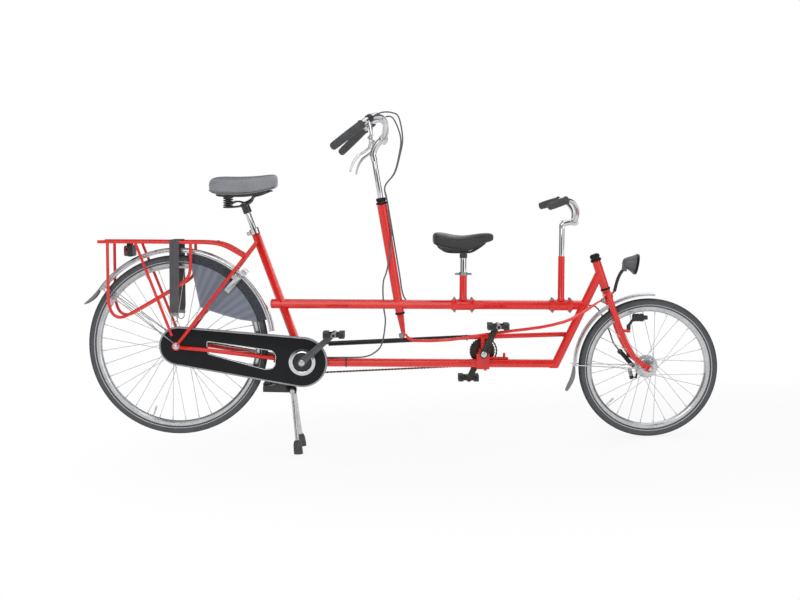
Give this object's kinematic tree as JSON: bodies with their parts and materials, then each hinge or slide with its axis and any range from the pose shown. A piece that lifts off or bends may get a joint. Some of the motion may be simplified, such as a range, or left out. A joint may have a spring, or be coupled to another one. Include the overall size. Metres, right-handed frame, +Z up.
{
  "type": "parent-child tandem bicycle",
  "caption": "Long two-seat tandem: full-size rear seat and steering, with a small child's saddle, cranks and handlebar in front, on a centre stand.",
  "frame": {"origin": "the middle of the footprint box, on the floor that the stand's soles and the front tyre touch", "axes": "+X is the tandem's forward direction and its length, +Y is the rider's left and across, +Z is up"},
  "size_m": [2.4582, 0.6012, 1.2969],
  "materials": {
    "red_enamel": "gloss enamel",
    "black_enamel": "gloss enamel",
    "black_plastic": "satin",
    "silver_metal": "polished",
    "bright_steel": "bright plated",
    "chain_steel": "brown, lightly oiled",
    "tyre_rubber": "matt",
    "soft_rubber": "matt",
    "saddle_vinyl": "satin, dark grey",
    "guard_vinyl": "coated cloth, grey blue",
    "lamp_red": "gloss, red"
  },
  "bodies": {
    "frame": {"top_tube": "red_enamel", "parent_head_tube": "red_enamel", "lower_tube": "red_enamel", "down_tube": "red_enamel", "seat_tube": "red_enamel", "child_bottom_bracket": "red_enamel", "right_chain_stay": "red_enamel", "left_chain_stay": "red_enamel", "right_seat_stay": "red_enamel", "left_seat_stay": "red_enamel", "mid_stay": "red_enamel", "chain_tube": "black_plastic", "rear_axle": "bright_steel", "rear_mudguard": "silver_metal", "rear_mud_flap": "soft_rubber", "right_coat_guard": "guard_vinyl", "left_coat_guard": "guard_vinyl", "chaincase_outer": "black_plastic", "chaincase_inner": "black_plastic", "rear_rack": "red_enamel", "ring_lock": "silver_metal", "rack_strap": "soft_rubber", "rear_lamp": "lamp_red", "seat_clamp": "bright_steel", "child_seat_carrier": "red_enamel", "child_bar_carrier": "red_enamel", "drive_chain": "chain_steel", "timing_chain": "chain_steel", "front_brake_cable": "black_plastic", "rear_brake_cable": "black_plastic", "stand_bracket": "black_enamel"},
    "stand": {"centre_stand": "silver_metal"},
    "rear_wheel": {"rear_tyre": "tyre_rubber", "rear_rim": "silver_metal", "rear_hub": "bright_steel"},
    "parent_seat": {"parent_seat_post": "bright_steel", "parent_saddle_frame": "black_enamel", "parent_saddle": "saddle_vinyl"},
    "parent_steering": {"steering_column": "red_enamel", "parent_handlebar": "silver_metal"},
    "right_lever": {"right_brake_lever": "silver_metal"},
    "left_lever": {"left_brake_lever": "silver_metal"},
    "linkage": {"steering_rod": "red_enamel"},
    "front_fork": {"fork": "red_enamel", "front_mudguard": "silver_metal", "front_mud_flap": "soft_rubber"},
    "lamp": {"headlamp": "black_plastic"},
    "generator": {"dynamo": "black_plastic"},
    "front_wheel": {"front_tyre": "tyre_rubber", "front_rim": "silver_metal", "front_hub": "bright_steel"},
    "parent_cranks": {"parent_crankset": "silver_metal"},
    "parent_pedal_r": {"parent_right_pedal": "soft_rubber"},
    "parent_pedal_l": {"parent_left_pedal": "soft_rubber"},
    "child_cranks": {"child_crankset": "black_enamel"},
    "child_pedal_r": {"child_right_pedal": "soft_rubber"},
    "child_pedal_l": {"child_left_pedal": "soft_rubber"},
    "child_seat": {"child_seat_post": "bright_steel", "child_saddle": "saddle_vinyl"},
    "child_bars": {"child_handlebar": "bright_steel"}
  },
  "joints": [
    {"name": "rear_wheel_spin", "type": "hinge", "parent": "frame", "child": "rear_wheel", "pos_m": [-0.8703, 0, 0.43518], "axis": [0, 1, 0], "continuous": true},
    {"name": "parent_seat_height", "type": "slide", "parent": "frame", "child": "parent_seat", "axis": [-0.3043, 0, 0.9526], "range_m": [-0.05, 0.04]},
    {"name": "parent_steer", "type": "hinge", "parent": "frame", "child": "parent_steering", "pos_m": [-0.00427, 0, 0.55753], "axis": [-0.123, 0, 0.9924], "range_deg": [-35, 35], "deforming": ["front_brake_cable", "rear_brake_cable"]},
    {"name": "right_lever_pull", "type": "hinge", "parent": "parent_steering", "child": "right_lever", "pos_m": [-0.08235, -0.16, 1.19979], "axis": [-0.6176, 0.7515, -0.2322], "range_deg": [0, 15], "stiffness_Nm_per_rad": 0.8, "springref_deg": -22.92},
    {"name": "left_lever_pull", "type": "hinge", "parent": "parent_steering", "child": "left_lever", "pos_m": [-0.08235, 0.16, 1.19979], "axis": [0.6176, 0.7515, 0.2322], "range_deg": [0, 15], "stiffness_Nm_per_rad": 0.8, "springref_deg": -22.92},
    {"name": "steering_rod_turn", "type": "hinge", "parent": "parent_steering", "child": "linkage", "pos_m": [0.00288, -0.046, 0.44052], "axis": [-0.123, 0.0086, 0.9924], "range_deg": [-36, 36]},
    {"name": "fork_steer", "type": "hinge", "parent": "frame", "child": "front_fork", "pos_m": [0.89904, 0, 0.25313], "axis": [-0.2801, 0, 0.96], "range_deg": [-35, 35], "deforming": ["front_brake_cable"]},
    {"name": "headlamp_tilt", "type": "hinge", "parent": "front_fork", "child": "lamp", "pos_m": [0.87479, 0, 0.65826], "axis": [0, 1, 0], "range_deg": [-8, 8]},
    {"name": "dynamo_swing", "type": "hinge", "parent": "front_fork", "child": "generator", "pos_m": [0.88048, -0.047, 0.43376], "axis": [0.0459, 0, 0.9989], "range_deg": [-10, 0]},
    {"name": "front_wheel_spin", "type": "hinge", "parent": "front_fork", "child": "front_wheel", "pos_m": [0.95856, 0, 0.2705], "axis": [0, 1, 0], "continuous": true},
    {"name": "parent_cranks_spin", "type": "hinge", "parent": "frame", "child": "parent_cranks", "pos_m": [-0.3864, 0, 0.35227], "axis": [0, 1, 0], "continuous": true},
    {"name": "parent_right_pedal_spin", "type": "hinge", "parent": "parent_cranks", "child": "parent_pedal_r", "pos_m": [-0.254, -0.0803, 0.46206], "axis": [0, 1, 0], "continuous": true},
    {"name": "parent_left_pedal_spin", "type": "hinge", "parent": "parent_cranks", "child": "parent_pedal_l", "pos_m": [-0.5188, 0.0803, 0.24247], "axis": [0, 1, 0], "continuous": true},
    {"name": "child_cranks_spin", "type": "hinge", "parent": "frame", "child": "child_cranks", "pos_m": [0.31729, 0, 0.35555], "axis": [0, 1, 0], "continuous": true},
    {"name": "child_right_pedal_spin", "type": "hinge", "parent": "child_cranks", "child": "child_pedal_r", "pos_m": [0.37333, -0.0713, 0.46728], "axis": [0, 1, 0], "continuous": true},
    {"name": "child_left_pedal_spin", "type": "hinge", "parent": "child_cranks", "child": "child_pedal_l", "pos_m": [0.26126, 0.0713, 0.24381], "axis": [0, 1, 0], "continuous": true},
    {"name": "child_seat_height", "type": "slide", "parent": "frame", "child": "child_seat", "axis": [0.0459, 0, 0.9989], "range_m": [0, 0.04]},
    {"name": "child_bar_height", "type": "slide", "parent": "frame", "child": "child_bars", "axis": [0.0459, 0, 0.9989], "range_m": [0, 0.05]},
    {"name": "stand_swing", "type": "hinge", "parent": "frame", "child": "stand", "pos_m": [-0.43095, 0, 0.23679], "axis": [0, 1, 0], "range_deg": [0, 90]}
  ],
  "couplings": [
    {"joint": "fork_steer", "follows": "parent_steer", "ratio": 1},
    {"joint": "steering_rod_turn", "follows": "parent_steer", "ratio": -1.022},
    {"joint": "child_cranks_spin", "follows": "parent_cranks_spin", "ratio": 1}
  ]
}
